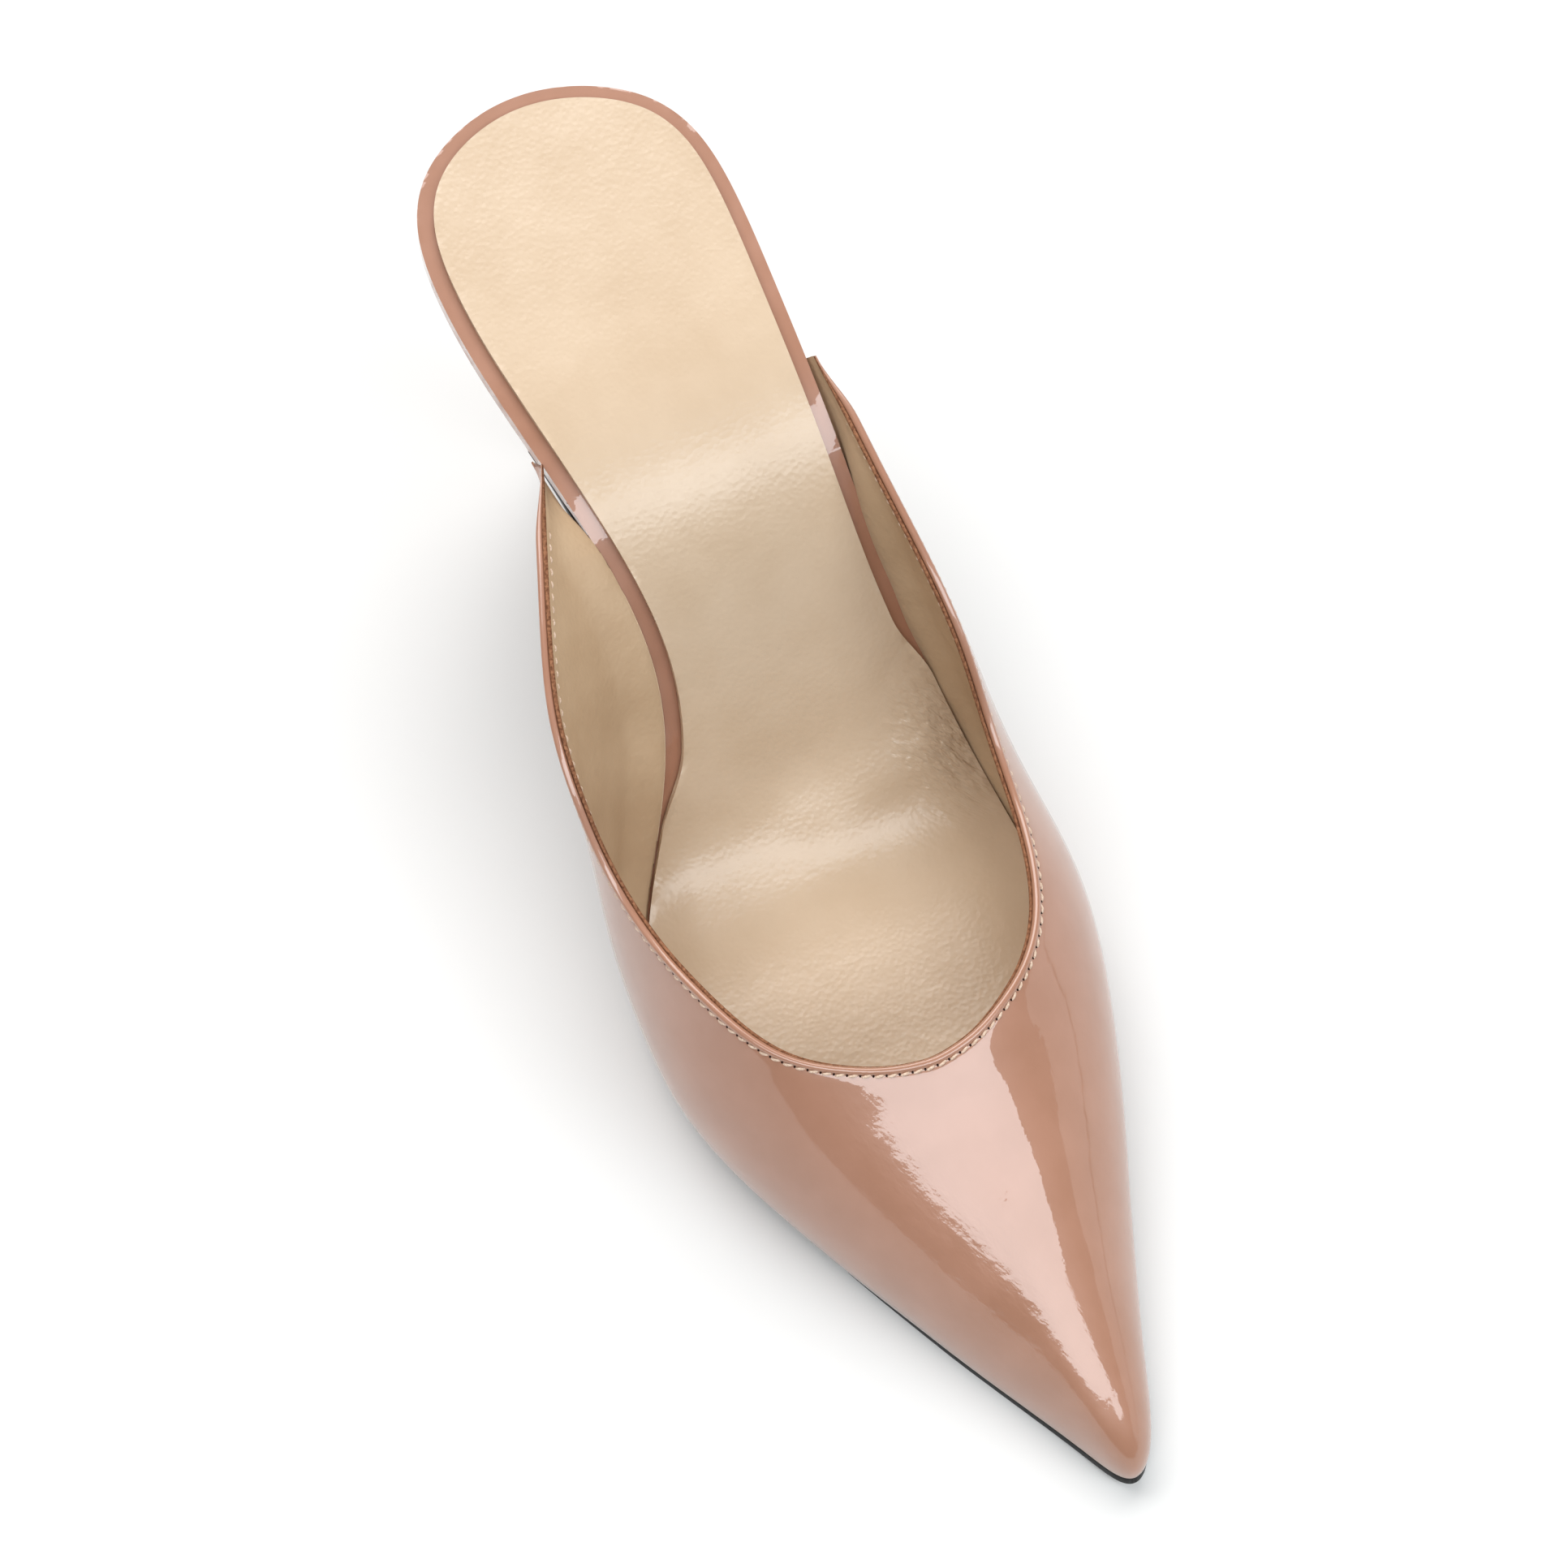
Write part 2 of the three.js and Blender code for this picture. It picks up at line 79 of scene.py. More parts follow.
# %% Tables of the last
outline_inner = [0, 3.3, 6.5, 12.9, 22.6, 33, 41.9, 48.4, 49.4, 46.6, 36.6,
                 27, 23.6, 26.2, 31.2, 35.4, 38, 37.4, 30.4, 17.6, 4]
outline_outer = [0, 4.1, 8, 12.4, 19.4, 27.8, 35.2, 41.2, 44.8, 43.7, 40.5,
                 36.6, 33.2, 31.2, 30.8, 31.4, 32.4, 31.2, 23.8, 10, -4]
rib_step = 0.06
rib_names = ("along", "out", "up", "run", "flare", "drop", "push", "rise")
toe_rib = (25.1, -6.2, 90.2, 13.0, 0, 36.6, 1.0, 31.7)
inner_ribs = [
    (25.2, 9.4, 90.5, 12.6, 0.3, 36.6, 0.6, 29),
    (25.6, 15.4, 91.2, 10.3, -1.5, 31.7, 0.9, 29),
    (26.6, 22.6, 92.7, 7.6, -0.6, 26.8, 1.6, 30),
    (28.2, 30.8, 94.6, 5, 2, 24.4, 3.6, 33),
    (30.5, 36.8, 96.8, 2.9, 5.6, 25.6, 7.8, 36.6),
    (34.2, 41.6, 98.8, 1.1, 7.5, 31.7, 8.6, 39),
    (40.3, 46.7, 100, 0.2, 5.6, 34.1, 5, 39),
    (47.5, 49.8, 94, 0, 2.4, 32, 11, 29),
    (55, 50.8, 80.5, 0, -0.4, 27, 15, 20),
    (62.5, 49.8, 58.5, 0, -3.6, 20.5, 13, 17),
    (70, 41.6, 28, 0, -3.6, 9, 6, 8.5),
    (77.5, 31, 7.3, 0, -0.3, 2.4, 0.4, 2.4),
]
outer_ribs = [
    (25.2, -2.8, 90.2, 12.6, 0.9, 36.6, 2.6, 31.7),
    (25.6, 3.6, 90, 10.3, 2.8, 31.7, 3.5, 31.7),
    (26.8, 10.8, 89.5, 7.2, 4.4, 28, 4.6, 31.7),
    (28.5, 18.6, 88.8, 4.6, 7.6, 25.6, 6.4, 32.9),
    (31.2, 25.3, 87.8, 2.7, 10.2, 23.2, 6.8, 34.1),
    (35, 30.2, 86.6, 1.1, 11.8, 23.2, 6.4, 35.4),
    (40.8, 34.3, 85.4, 0.4, 9.8, 26.8, 4.3, 36.6),
    (47.5, 35.6, 82.9, 0, 7.4, 28.5, 2.5, 34.1),
    (55, 35.3, 73.2, 0, 6, 26, 2.8, 27),
    (62.5, 34, 53.7, 0, 3.8, 19, 2.6, 18),
    (70, 32.2, 25.6, 0, 2, 9, 1.8, 9),
    (77.5, 32.2, 7.3, 0, -0.2, 2.4, 0.2, 2.4),
]
print("ribs on each side:", len(inner_ribs), len(outer_ribs))

# %% Small sums
def smooth(t):
    t = np.clip(t, 0, 1)
    return t * t * (3 - 2 * t)


def mix(a, b, t):
    return a + (b - a) * t


def blend(table, middle, position):
    """Uniform cubic blend of evenly spaced values; table[middle] is the value at 0."""
    first = np.floor(position).astype(int)
    t = position - first
    before = 3 * t**3 - 6 * t**2 + 4
    after = -3 * t**3 + 3 * t**2 + 3 * t + 1
    weights = ((1 - t) ** 3, before, after, t**3)
    return sum(w * table[first + middle - 1 + k] for k, w in enumerate(weights)) / 6


# %% Bottom line of the last
spine_step = 0.1


def slope_at(u, arch):
    share = u / last_length
    toe = -toe_spring_angle * np.clip(1 - share / spring_end, 0, 1)
    rise = arch * smooth((share - ball_end) / arch_run)
    seat = (arch - heel_seat_angle) * smooth((share - arch_top) / seat_run)
    return np.radians(toe + rise - seat)


def trace_spine(arch):
    count = round(last_length / spine_step)
    slopes = slope_at((np.arange(count) + 0.5) / count * last_length, arch)
    step = last_length / count
    y = np.concatenate([[0], np.cumsum(np.cos(slopes))]) * step
    z = np.concatenate([[0], np.cumsum(np.sin(slopes))]) * step
    return y, z - z.min() + outsole_thickness + piece_gap


def solve_arch():
    low, high = 0.0, 85.0
    for _ in range(40):
        middle = (low + high) / 2
        if trace_spine(middle)[1][-1] < heel_height:
            low = middle
        else:
            high = middle
    return (low + high) / 2


arch_angle = solve_arch()
spine_y, spine_z = trace_spine(arch_angle)
spine_u = np.linspace(0, last_length, len(spine_y))
origin_y = np.interp(tread_middle * last_length, spine_u, spine_y)
print("arch angle in degrees:", round(arch_angle, 2))


def place_section(u, x, n):
    """The point u along the bottom line, x to the outer side and n above it, in millimetres."""
    tilt = np.radians(instep_tilt * smooth((u / last_length - tilt_start) / tilt_run))
    y = np.interp(u, spine_u, spine_y) - origin_y
    z = np.interp(u, spine_u, spine_z)
    return np.stack([x + 0 * y, y - n * np.sin(tilt), z + n * np.cos(tilt)], axis=-1)


def place_layer(u, x, n):
    """The same, square to the bottom line, for the flat layers."""
    slope = slope_at(u, arch_angle)
    y = np.interp(u, spine_u, spine_y) - origin_y
    z = np.interp(u, spine_u, spine_z)
    return np.stack([x + 0 * y, y - n * np.sin(slope), z + n * np.cos(slope)], axis=-1)


# %% Outline of the last's bottom
def along_at(place):
    """place runs from -1 over the inner side to 0 at the toe tip and on to 1 at the heel back."""
    s = np.abs(place)
    rate = last_length / (1 - end_zone)
    near_tip = rate * s**2 / (2 * end_zone)
    near_back = last_length - rate * (1 - s) ** 2 / (2 * end_zone)
    middle = rate * (s - end_zone / 2)
    return np.where(s < end_zone, near_tip, np.where(s > 1 - end_zone, near_back, middle))


def place_of(share):
    return share * (1 - end_zone) + end_zone / 2


last_row = len(outline_outer) - 1
wrapped_inner = [-value for value in outline_inner[:0:-1]]
around = wrapped_inner + outline_outer
outline_table = np.array(around[-4:-1] + around + around[1:4]) * ball_width / 100
outline_middle = 3 + last_row


def outline_at(place):
    return along_at(place), blend(outline_table, outline_middle, place * last_row)


def outward_at(place):
    step = 0.002
    u0, x0 = outline_at(place - step)
    u1, x1 = outline_at(place + step)
    length = np.hypot(x0 - x1, u1 - u0)
    return (x0 - x1) / length, (u1 - u0) / length


def inset_outline(place, inset):
    u, x = outline_at(place)
    out_u, out_x = outward_at(place)
    return u - out_u * inset, x - out_x * inset


# %% [markdown]
# ## The surface of the upper
#
# A pattern cutter thinks of the upper as ribs: from each point of the topline a curve runs down
# to the feather edge, where the upper is pulled under the last. Each rib here is one cubic curve,
# and the ribs are blended along the outline, so the skin has no seam and no flat spot.

# %% Ribs
def rib_table(name):
    column = rib_names.index(name)
    sign = -1 if name in ("out", "flare") else 1
    inner = [sign * row[column] for row in inner_ribs]
    outer = [row[column] for row in outer_ribs]
    inner += [2 * inner[-1] - inner[-2]] * 2
    outer += [2 * outer[-1] - outer[-2]] * 2
    scale = {"along": last_length, "run": last_length}.get(name, instep_height)
    scale = ball_width if name in ("out", "flare", "push") else scale
    return np.array(inner[::-1] + [toe_rib[column]] + outer) * scale / 100


rib_tables = {name: rib_table(name) for name in rib_names}


def rib_column(name, place):
    return blend(rib_tables[name], len(inner_ribs) + 2, place / rib_step)


def rib_points(place):
    """The four points that steer each rib, as u, x, n."""
    top = np.stack([rib_column(name, place) for name in ("along", "out", "up")], axis=-1)
    leave = np.stack([rib_column(name, place) for name in ("run", "flare", "drop")], axis=-1)
    leave = leave * (-1, 1, -1)
    u, x = outline_at(place)
    out_u, out_x = outward_at(place)
    push = rib_column("push", place)
    foot = np.stack([u, x, 0 * u], axis=-1)
    lead = np.stack([out_u * push, out_x * push, rib_column("rise", place)], axis=-1)
    return top, top + leave, foot + lead, foot


def skin_at(place, t):
    """Points of the upper's outside. place and t are arrays of one shape, t is 0 at the topline."""
    a, b, c, d = rib_points(place)
    t = t[..., None]
    curve = (1 - t) ** 3 * a + 3 * (1 - t) ** 2 * t * b + 3 * (1 - t) * t**2 * c + t**3 * d
    return place_section(curve[..., 0], curve[..., 1], curve[..., 2])


def normal_at(place, t):
    step = 0.004
    across = skin_at(place + step, t) - skin_at(place - step, t)
    down = skin_at(place, np.minimum(1, t + step)) - skin_at(place, np.maximum(0, t - step))
    normal = np.cross(down, across)
    return normal / np.linalg.norm(normal, axis=-1, keepdims=True)


rib_samples = 161


def rib_lengths(place):
    """For one rib: the curve's parameters, and the distance below the topline at each."""
    t = np.linspace(0, 1, rib_samples)
    points = skin_at(np.full_like(t, place), t)
    steps = np.linalg.norm(np.diff(points, axis=0), axis=1)
    return t, np.concatenate([[0], np.cumsum(steps)])


def skin_points(places, distances, depths):
    """Points at distances below the topline and depths under the outside, in millimetres.
    distances and depths have a row for each place."""
    t = np.empty_like(distances)
    for i, place in enumerate(places):
        parameters, lengths = rib_lengths(place)
        t[i] = np.interp(distances[i], lengths, parameters)
    grid = np.repeat(places[:, None], distances.shape[1], axis=1)
    return skin_at(grid, t) - normal_at(grid, t) * depths[..., None]


# %% [markdown]
# ## Making a piece
#
# Every curved piece starts as a flat grid primitive, and its points are then laid on the surface
# that the piece follows. A grid can be rolled into a tube: two of its edges meet, and merging by
# distance sews them. What stays open at the ends is filled in edit mode.

# %% Helpers for pieces
# Points nearer than this are one point, and shorter edges are dissolved. Metres
merge_distance, shortest_edge = 0.000002, 0.0000005


def deselect():
    if bpy.context.object and bpy.context.object.mode != "OBJECT":
        bpy.ops.object.mode_set(mode="OBJECT")
    bpy.ops.object.select_all(action="DESELECT")


def shaped_grid(name, points, lengths=None):
    """A grid primitive with its points laid at points[column, row], in millimetres.
    lengths gives a distance along and across for each point, for the UV map."""
    columns, rows = points.shape[:2]
    deselect()
    bpy.ops.mesh.primitive_grid_add(x_subdivisions=columns - 1, y_subdivisions=rows - 1, size=1)
    piece = bpy.context.object
    piece.name = piece.data.name = name
    flat = np.empty(len(piece.data.vertices) * 3)
    piece.data.vertices.foreach_get("co", flat)
    flat = flat.reshape(-1, 3) + 0.5
    column = np.rint(flat[:, 0] * (columns - 1)).astype(int)
    row = np.rint(flat[:, 1] * (rows - 1)).astype(int)
    piece.data.vertices.foreach_set("co", (points[column, row] * MM).ravel())
    if lengths is not None:
        corners = np.empty(len(piece.data.loops), int)
        piece.data.loops.foreach_get("vertex_index", corners)
        flat_map = (lengths[column, row] * MM)[corners]
        piece.data.uv_layers[0].uv.foreach_set("vector", flat_map.ravel())
    piece.data.update()
    return piece


def sew(piece, fill_ends=False):
    """Merges the points that meet, closes the ends and turns the faces outwards."""
    deselect()
    piece.select_set(True)
    bpy.context.view_layer.objects.active = piece
    bpy.ops.object.mode_set(mode="EDIT")
    bpy.ops.mesh.select_all(action="SELECT")
    bpy.ops.mesh.remove_doubles(threshold=merge_distance)
    bpy.ops.mesh.dissolve_degenerate(threshold=shortest_edge)
    if fill_ends:
        bpy.ops.mesh.select_all(action="SELECT")
        bpy.ops.mesh.fill_holes(sides=0)
    bpy.ops.mesh.select_all(action="SELECT")
    bpy.ops.mesh.normals_make_consistent(inside=False)
    bpy.ops.object.mode_set(mode="OBJECT")


def round_edges(piece, width, segments, angle):
    """Bevels the edges that turn by more than an angle in degrees. width is in millimetres."""
    bevel = piece.modifiers.new("rim", "BEVEL")
    bevel.width = width * MM
    bevel.segments = segments
    bevel.limit_method = "ANGLE"
    bevel.angle_limit = math.radians(angle)
    bpy.ops.object.modifier_apply(modifier="rim")


def finish_piece(piece, angle, material, *nodes):
    """Smooths the shading up to an angle in degrees, gives the finish and hands the piece over."""
    deselect()
    piece.select_set(True)
    bpy.context.view_layer.objects.active = piece
    bpy.ops.object.shade_smooth_by_angle(angle=math.radians(angle))
    if not piece.data.materials:
        piece.data.materials.append(material)
    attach(piece, "root")
    if nodes:
        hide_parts(*nodes)
    faces = sum(len(face.vertices) - 2 for face in piece.data.polygons)
    print(piece.name, faces, "triangles")


# %% [markdown]
# ## Finishes
#
# Patent leather is grain leather under a thick clear lacquer. The eye gets a soft brown body
# colour from the leather and a sharp mirror from the lacquer, which is why the shader has a rough
# base under a smooth coat. The lacquer is never quite flat: it has a faint orange peel, some three
# millimetres across, slow waves where the leather was pulled over the last, and small ripples
# along the vamp's inner ridge.

# %% Colour and node helpers
def linear(text):
    """An sRGB hex colour as linear red, green, blue and alpha."""
    parts = [int(text[i:i + 2], 16) / 255 for i in (1, 3, 5)]
    return [c / 12.92 if c <= 0.04045 else ((c + 0.055) / 1.055) ** 2.4 for c in parts] + [1.0]


def add_node(material, kind, settings, links):
    """Adds a node. settings fill its sockets or options, links join its sockets to outputs."""
    node = material.node_tree.nodes.new(kind)
    for name, value in settings.items():
        if name in node.inputs:
            node.inputs[name].default_value = value
        else:
            setattr(node, name, value)
    for name, source in links.items():
        material.node_tree.links.new(source, node.inputs[name])
    return node


def new_material(name, settings):
    """A material whose shader already has its constant settings."""
    material = bpy.data.materials.new(name)
    material.use_nodes = True
    shader = material.node_tree.nodes["Principled BSDF"]
    for socket, value in settings.items():
        shader.inputs[socket].default_value = value
    return material, shader


def object_coordinates(material):
    return add_node(material, "ShaderNodeTexCoord", {}, {}).outputs["Object"]


def size_to_scale(millimetres):
    """The scale of a noise whose features are about this wide."""
    return 1 / (millimetres * MM)


def colour_between(material, first, second, factor, low=0.35, high=0.65):
    """A soft run between two hex colours, steered by a value."""
    ramp = add_node(material, "ShaderNodeValToRGB", {}, {"Fac": factor})
    ramp.color_ramp.elements[0].position = low
    ramp.color_ramp.elements[0].color = linear(first)
    ramp.color_ramp.elements[1].position = high
    ramp.color_ramp.elements[1].color = linear(second)
    return ramp.outputs["Color"]


# %% Patent leather
# Sizes of the features in millimetres, depths of the bumps in metres
patent_mottle_size = 9
wave_size, wave_depth = 11, 0.00012
peel_size, peel_depth = 3.4, 0.00003
ripple_depth = 0.00014
# The vamp is creased most along its inner ridge, from the topline to the toe. Millimetres, degrees
ridge_middle, ridge_radii, ridge_turn = (-10.0, -41.0, 26.0), (50.0, 9.0, 40.0), -71.0
ripple_size = (2.8, 1.2, 2.0)


def soft_spot(material, place, middle, radii, turn):
    """A value that falls from 1 amid an ellipsoid to 0 at its rim. Millimetres, degrees."""
    spot = add_node(material, "ShaderNodeMapping", {
        "vector_type": "TEXTURE",
        "Location": [value * MM for value in middle],
        "Rotation": (0, 0, math.radians(turn)),
        "Scale": [value * MM for value in radii],
    }, {"Vector": place})
    return add_node(material, "ShaderNodeTexGradient", {"gradient_type": "SPHERICAL"},
                    {"Vector": spot.outputs["Vector"]}).outputs["Fac"]


def patent_leather(name, light, dark):
    material, shader = new_material(name, {
        "Roughness": 0.42,
        "IOR": 1.5,
        "Coat Weight": 1.0,
        "Coat Roughness": 0.025,
        "Coat IOR": 1.56,
    })
    place = object_coordinates(material)
    mottle = add_node(material, "ShaderNodeTexNoise",
                      {"Scale": size_to_scale(patent_mottle_size), "Detail": 3.0}, {"Vector": place})
    colour = colour_between(material, dark, light, mottle.outputs["Fac"])
    material.node_tree.links.new(colour, shader.inputs["Base Color"])
    waves = add_node(material, "ShaderNodeTexNoise",
                     {"Scale": size_to_scale(wave_size), "Detail": 1.0}, {"Vector": place})
    slow = add_node(material, "ShaderNodeBump",
                    {"Strength": 1.0, "Distance": wave_depth}, {"Height": waves.outputs["Fac"]})
    peel = add_node(material, "ShaderNodeTexNoise",
                    {"Scale": size_to_scale(peel_size), "Detail": 3.0, "Roughness": 0.6},
                    {"Vector": place})
    fine = add_node(material, "ShaderNodeBump",
                    {"Strength": 1.0, "Distance": peel_depth},
                    {"Height": peel.outputs["Fac"], "Normal": slow.outputs["Normal"]})
    drawn = add_node(material, "ShaderNodeMapping", {
        "vector_type": "TEXTURE",
        "Rotation": (0, 0, math.radians(ridge_turn)),
        "Scale": [value * MM for value in ripple_size],
    }, {"Vector": place})
    ripple = add_node(material, "ShaderNodeTexNoise", {"Scale": 1.0, "Detail": 4.0},
                      {"Vector": drawn.outputs["Vector"]})
    ridge = soft_spot(material, place, ridge_middle, ridge_radii, ridge_turn)
    masked = add_node(material, "ShaderNodeMath",
                      {"operation": "MULTIPLY"}, {0: ripple.outputs["Fac"], 1: ridge})
    rippled = add_node(material, "ShaderNodeBump",
                       {"Strength": 1.0, "Distance": ripple_depth},
                       {"Height": masked.outputs["Value"], "Normal": fine.outputs["Normal"]})
    material.node_tree.links.new(rippled.outputs["Normal"], shader.inputs["Normal"])
    material.node_tree.links.new(rippled.outputs["Normal"], shader.inputs["Coat Normal"])
    return material


patent = patent_leather("patent_leather_nude", "#a1725a", "#9b6c53")
print("finish:", patent.name)

# %% [markdown]
# Lining and sock are thin kid leather, dyed in the drum and left almost matt. Kid has a fine
# pebbled grain, under a millimetre, and a satin shine where it is stretched over a bend.

# %% Kid leather
kid_mottle_size, crease_size, pebble_size = 14, 5, 0.85
# Fine wrinkles at the ball, by the outer edge: where they are, their length, width and direction
wrinkle_middle, wrinkle_radii = (28.0, 47.0, 14.0), (13.0, 17.0, 26.0)
wrinkle_size, wrinkle_turn = (3.6, 1.1, 3.0), -40.0


def kid_leather(name, light, dark, roughness, grain_depth, crease_depth, wrinkle_depth):
    material, shader = new_material(name, {"Roughness": roughness, "IOR": 1.52})
    place = object_coordinates(material)
    mottle = add_node(material, "ShaderNodeTexNoise",
                      {"Scale": size_to_scale(kid_mottle_size), "Detail": 4.0}, {"Vector": place})
    colour = colour_between(material, dark, light, mottle.outputs["Fac"])
    material.node_tree.links.new(colour, shader.inputs["Base Color"])
    creases = add_node(material, "ShaderNodeTexNoise",
                       {"Scale": size_to_scale(crease_size), "Detail": 3.0, "Distortion": 0.6},
                       {"Vector": place})
    soft = add_node(material, "ShaderNodeBump",
                    {"Strength": 1.0, "Distance": crease_depth}, {"Height": creases.outputs["Fac"]})
    pebbles = add_node(material, "ShaderNodeTexVoronoi",
                       {"feature": "SMOOTH_F1", "Scale": size_to_scale(pebble_size), "Smoothness": 0.6},
                       {"Vector": place})
    grain = add_node(material, "ShaderNodeBump",
                     {"Strength": 1.0, "Distance": grain_depth},
                     {"Height": pebbles.outputs["Distance"], "Normal": soft.outputs["Normal"]})
    lines = add_node(material, "ShaderNodeMapping", {
        "vector_type": "TEXTURE",
        "Rotation": (0, 0, math.radians(wrinkle_turn)),
        "Scale": [value * MM for value in wrinkle_size],
    }, {"Vector": place})
    wrinkles = add_node(material, "ShaderNodeTexNoise", {"Scale": 1.0, "Detail": 2.0},
                        {"Vector": lines.outputs["Vector"]})
    patch = soft_spot(material, place, wrinkle_middle, wrinkle_radii, 0)
    masked = add_node(material, "ShaderNodeMath",
                      {"operation": "MULTIPLY"}, {0: wrinkles.outputs["Fac"], 1: patch})
    wrinkled = add_node(material, "ShaderNodeBump",
                        {"Strength": 1.0, "Distance": wrinkle_depth},
                        {"Height": masked.outputs["Value"], "Normal": grain.outputs["Normal"]})
    material.node_tree.links.new(wrinkled.outputs["Normal"], shader.inputs["Normal"])
    return material


sock_kid = kid_leather("kid_leather_sock", "#c8b197", "#c2aa8f", roughness=0.27,
                       grain_depth=0.00004, crease_depth=0.00007, wrinkle_depth=0.0016)
lining_kid = kid_leather("kid_leather_lining", "#bfa383", "#b59878", roughness=0.5,
                         grain_depth=0.00005, crease_depth=0.00016, wrinkle_depth=0.0)
print("finishes:", sock_kid.name, lining_kid.name)

# %% [markdown]
# The rest is small: the cut edge of the lining shows raw, fibrous leather, the thread is bonded
# polyester, the sole is leather with an inked, waxed edge, and the top piece is moulded rubber.
# The needle holes are near-black brown, which is painted shade.

# %% Raw edge, thread, sole, rubber
def rough_material(name, light, dark, roughness, feature, depth):
    material, shader = new_material(name, {"Roughness": roughness, "Specular IOR Level": 0.12})
    place = object_coordinates(material)
    fibre = add_node(material, "ShaderNodeTexNoise",
                     {"Scale": size_to_scale(feature), "Detail": 5.0}, {"Vector": place})
    colour = colour_between(material, dark, light, fibre.outputs["Fac"])
    material.node_tree.links.new(colour, shader.inputs["Base Color"])
    bump = add_node(material, "ShaderNodeBump",
                    {"Strength": 1.0, "Distance": depth}, {"Height": fibre.outputs["Fac"]})
    material.node_tree.links.new(bump.outputs["Normal"], shader.inputs["Normal"])
    return material


# Name, light and dark colour, roughness, size of the fibres in millimetres, bump depth in metres
raw_edge = rough_material("raw_leather_edge", "#97694c", "#66402c", 0.85, 0.5, 0.00025)
thread = rough_material("bonded_thread", "#dcc5b1", "#b89c86", 0.55, 0.25, 0.00006)
# Painted shade: the needle holes get a near-black brown that stands in for the shade inside them
painted_hole_shade = rough_material("painted_hole_shade", "#2c1710", "#1c0e09", 0.9, 0.3, 0.00005)
waxed_sole = rough_material("waxed_black_sole_leather", "#0c0a0a", "#070606", 0.45, 0.9, 0.00003)
rubber = rough_material("moulded_rubber", "#1b1b1b", "#121212", 0.62, 0.6, 0.00004)
print("finishes:", raw_edge.name, thread.name, waxed_sole.name, rubber.name)

# %% [markdown]
# ## The upper
#
# The patent leather is folded over along the topline and glued down, which makes a round, glossy
# bead little over a millimetre wide. Its section goes up the hidden inside, over the bead's crest
# and down the outside. At its rear ends the leather is skived thin and pressed on the footbed's
# rim, so the last centimetre draws in.

# %% Patent shell of the upper
patent_thickness = 1.0
# One row for each point around the bead: distance below the crest, depth under the outside
bead_section = [
    (2.2, 1.0), (1.1, 1.02), (0.55, 1.0), (0.28, 0.93), (0.12, 0.78), (0.04, 0.6), (0.0, 0.4),
    (0.02, 0.2), (0.07, 0.04), (0.16, -0.09), (0.3, -0.18), (0.47, -0.23), (0.66, -0.25),
    (0.84, -0.24), (0.99, -0.19), (1.11, -0.11), (1.21, -0.01), (1.32, 0.05), (1.48, 0.07),
    (1.72, 0.04), (2.1, 0.0),
]
# Behind the seam the leather is one layer again and sinks a little, most over the toes
trough_depth, trough_start, trough_run, trough_end, trough_fade = 0.32, 2.2, 8.0, 12.0, 25.0
trough_reach = 0.3
end_taper = 0.035
upper_columns = 361
rows_inside, rows_outside = 16, 62
row_crowd = 1.3
# Near the rear ends the bead is lower, and at the very ends the whole shell is skived thin
thinnest_bead = 0.6
skived_depth, skived_share = 1.35, 0.3
# The row of bead_section that is its crest
crest_row = 6

upper_places = np.linspace(-upper_end, upper_end, upper_columns)
rib_totals = np.array([rib_lengths(place)[1][-1] for place in upper_places])
bead_reach = np.minimum(1, rib_totals / (2 * bead_section[-1][0]))
taper = smooth((np.abs(upper_places) - upper_end + end_taper) / end_taper)


def crowd(count, power):
    """Shares from 0 to 1, closer together near 1."""
    return 1 - (1 - np.arange(1, count + 1) / count) ** power


def trough_at(place, distance):
    sinks = smooth((distance - trough_start) / trough_run)
    rises = smooth((distance - trough_end) / trough_fade)
    return trough_depth * sinks * (1 - rises) * (1 - smooth(abs(place) / trough_reach))


def patent_section():
    """Distances and depths around the shell, a row for each rib."""
    bead = np.array(bead_section)
    distances, depths = [], []
    for place, total, reach in zip(upper_places, rib_totals, bead_reach):
        start_in, start_out = bead[0, 0] * reach, bead[-1, 0] * reach
        inside = mix(start_in, total, crowd(rows_inside, row_crowd))[::-1]
        outside = mix(start_out, total, crowd(rows_outside, row_crowd))
        distances.append(np.concatenate([inside, bead[:, 0] * reach, outside, inside[:1]]))
        around_bead = bead[:, 1] * mix(thinnest_bead, 1, reach)
        hidden = np.full(rows_inside, patent_thickness)
        depths.append(np.concatenate([hidden, around_bead, trough_at(place, outside), hidden[:1]]))
    return np.array(distances), np.array(depths)


shell_distances, shell_depths = patent_section()
shell_depths = mix(shell_depths, skived_depth + skived_share * shell_depths, taper[:, None])
shell_points = skin_points(upper_places, shell_distances, shell_depths)
print("shell grid:", shell_points.shape)

# %% Lay the shell
crest_line = shell_points[:, rows_inside + crest_row]
crest_steps = np.linalg.norm(np.diff(crest_line, axis=0), axis=1)
crest_lengths = np.concatenate([[0], np.cumsum(crest_steps)])
shell_map = np.stack(np.broadcast_arrays(crest_lengths[:, None], shell_distances), axis=-1)
upper = shaped_grid("upper_patent", shell_points, shell_map)
sew(upper, fill_ends=True)
finish_piece(upper, 50, patent, "upper")

# %% [markdown]
# The lining is a second, thinner shell inside the first. Its top edge is only trimmed, so the cut
# shows behind the bead as a narrow brown line with loose fibres. Near the footbed it was pulled
# over the last with some slack: it keeps soft vertical pleats and swells against the footbed's rim.

# %% Lining
lining_outer_depth = 1.03
hidden_rows = 10
# One row for each point around the cut edge: distance below the crest, depth under the outside
cut_section = [
    (1.5, 1.03), (0.5, 1.03), (0.2, 1.05), (0.06, 1.12), (0.0, 1.26), (0.03, 1.42),
    (0.12, 1.56), (0.28, 1.65), (0.55, 1.7), (1.2, 1.7),
]
